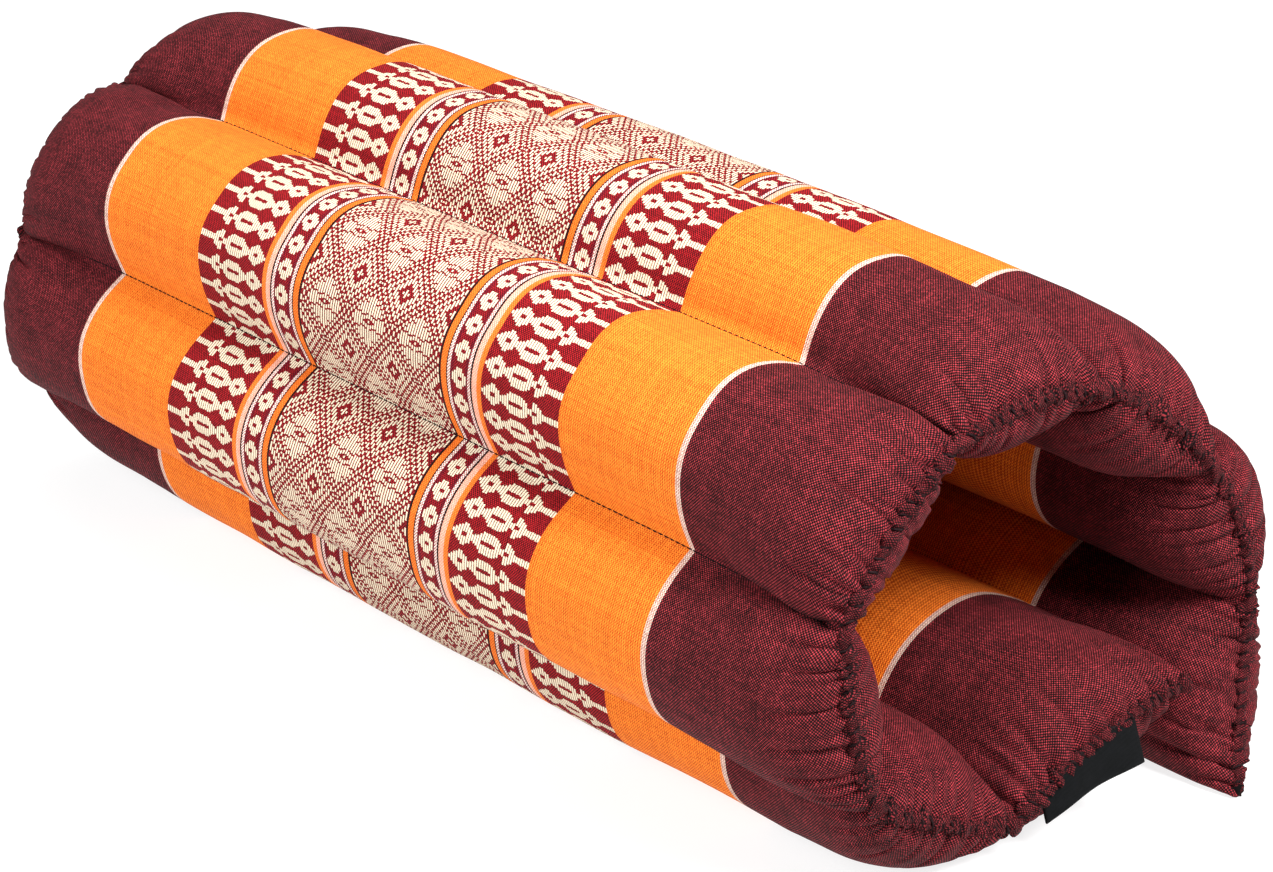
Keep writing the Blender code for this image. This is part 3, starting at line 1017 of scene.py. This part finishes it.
columns = []
for i in range(LABEL_STEPS + 1):
    part = i / LABEL_STEPS
    u = LABEL_FROM + (LABEL_TO - LABEL_FROM) * part
    seam = seam_point(0, u, 1)
    drop = LABEL_DROP_FROM + (LABEL_DROP_TO - LABEL_DROP_FROM) * part
    ripple = LABEL_RIPPLE * math.sin(part * 9.0 + 0.6)
    column = []
    for layer in (0, 1):
        for j in range(LABEL_ROWS + 1):
            q = j / LABEL_ROWS if layer == 0 else 1 - j / LABEL_ROWS
            down = -LABEL_OVERLAP + (drop + LABEL_OVERLAP) * q
            lean = LABEL_LEAN * max(0.0, down) + ripple * q ** 2
            apart = LABEL_LOOP * layer
            column.append((LENGTH / 2 + LABEL_BACK + lean + apart, seam.y, seam.z - down))
        if layer == 0:
            x, y, z = column[-1]
            for turn_at in (0.25, 0.5, 0.75):
                a = math.pi * turn_at
                column.append((x + LABEL_LOOP / 2 * (1 - math.cos(a)), y, z - LABEL_LOOP / 2 * math.sin(a)))
    columns.append(column)
size = len(columns[0])
label_points = [p for column in columns for p in column]
label_faces = []
label_uv = []
for i in range(len(columns) - 1):
    for j in range(size - 1):
        spots = ((i, j), (i, j + 1), (i + 1, j + 1), (i + 1, j))
        label_faces.append([a * size + b for a, b in spots])
        for a, b in spots:
            label_uv += [a / LABEL_STEPS * LABEL_FLAT[0], b / (size - 1) * LABEL_FLAT[1]]
label = add_piece("label_tape", label_points, label_faces, {"cloth": label_uv})
shell = label.modifiers.new("tape thickness", "SOLIDIFY")
shell.thickness = TAPE
shell.offset = 0.0


def satin_tape():
    """Black satin label tape: smooth, with a soft lustre along its fine ribs."""
    constants = {"Roughness": 0.5, "Specular IOR Level": 0.08}
    made, tree, shader = start_material("satin_tape", constants)
    uv = add_node(tree, "ShaderNodeUVMap", uv_map="cloth").outputs[0]
    parts = add_node(tree, "ShaderNodeSeparateXYZ", {0: uv})
    turns = math.pi * 2 / TAPE_RIB
    rib = add_node(tree, "ShaderNodeMath", {0: parts.outputs[0], 1: turns}, operation="MULTIPLY")
    wave = add_node(tree, "ShaderNodeMath", {0: rib.outputs[0]}, operation="SINE")
    cloudy = add_node(tree, "ShaderNodeTexNoise", {"Vector": uv, "Scale": 300.0, "Detail": 3.0})
    ramp = add_node(tree, "ShaderNodeValToRGB", {0: cloudy.outputs[0]})
    set_stops(ramp, ((0.0, linear("#020303")), (1.0, linear("#0A0B0D"))), "LINEAR")
    tree.links.new(ramp.outputs[0], shader.inputs["Base Color"])
    relief = {"Height": wave.outputs[0], "Strength": 0.35, "Distance": 0.00015}
    bump = add_node(tree, "ShaderNodeBump", relief)
    tree.links.new(bump.outputs[0], shader.inputs["Normal"])
    return made


label.data.materials.append(satin_tape())
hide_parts("label")
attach(label, "root")

# The floor and the light: a pale matt table that runs on out of view, under wide soft lamps. One hangs
# overhead, one stands to the left of the camera, and one is in front of the near end.
REACH = 9
DROP = 0.0006            # of the table below the mat
corners = [(x * REACH, y * REACH, -DROP) for x, y in ((-1, -1), (1, -1), (1, 1), (-1, 1))]
floor = add_piece("floor", corners, [(0, 1, 2, 3)])


def pale_table():
    """A matt white table top: even and pale, with the faintest unevenness."""
    constants = {"Roughness": 0.9, "Emission Color": linear("#FFFFFF"), "Emission Strength": 0.82}
    made, tree, shader = start_material("pale_table", constants)
    grain = add_node(tree, "ShaderNodeTexNoise", {"Scale": 6.0})
    ramp = add_node(tree, "ShaderNodeValToRGB", {0: grain.outputs[0]})
    set_stops(ramp, ((0.0, linear("#888888")), (1.0, linear("#8C8C8C"))), "LINEAR")
    tree.links.new(ramp.outputs[0], shader.inputs["Base Color"])
    return made


floor.data.materials.append(pale_table())

world = bpy.data.worlds.new("studio")
scene.world = world
world.use_nodes = True
background = world.node_tree.nodes["Background"]
background.inputs[0].default_value = linear("#FFFFFF")
background.inputs[1].default_value = 0.06

Lamp = namedtuple("Lamp", "name place size power")
LAMPS = (
    Lamp("overhead", (-0.2, -0.2, 2.2), 2.0, 21.0),
    Lamp("left_front", (0.0, -1.9, 1.1), 1.8, 52.0),
    Lamp("near_end", (1.35, 0.1, 1.5), 0.8, 92.0),
)
for lamp in LAMPS:
    data = bpy.data.lights.new(lamp.name, "AREA")
    data.size = lamp.size
    data.energy = lamp.power
    made = bpy.data.objects.new(lamp.name, data)
    made.location = lamp.place
    aim = Vector((0.0, 0.0, 0.1)) - Vector(lamp.place)
    made.rotation_euler = aim.to_track_quat("-Z", "Y").to_euler()
    scene.collection.objects.link(made)
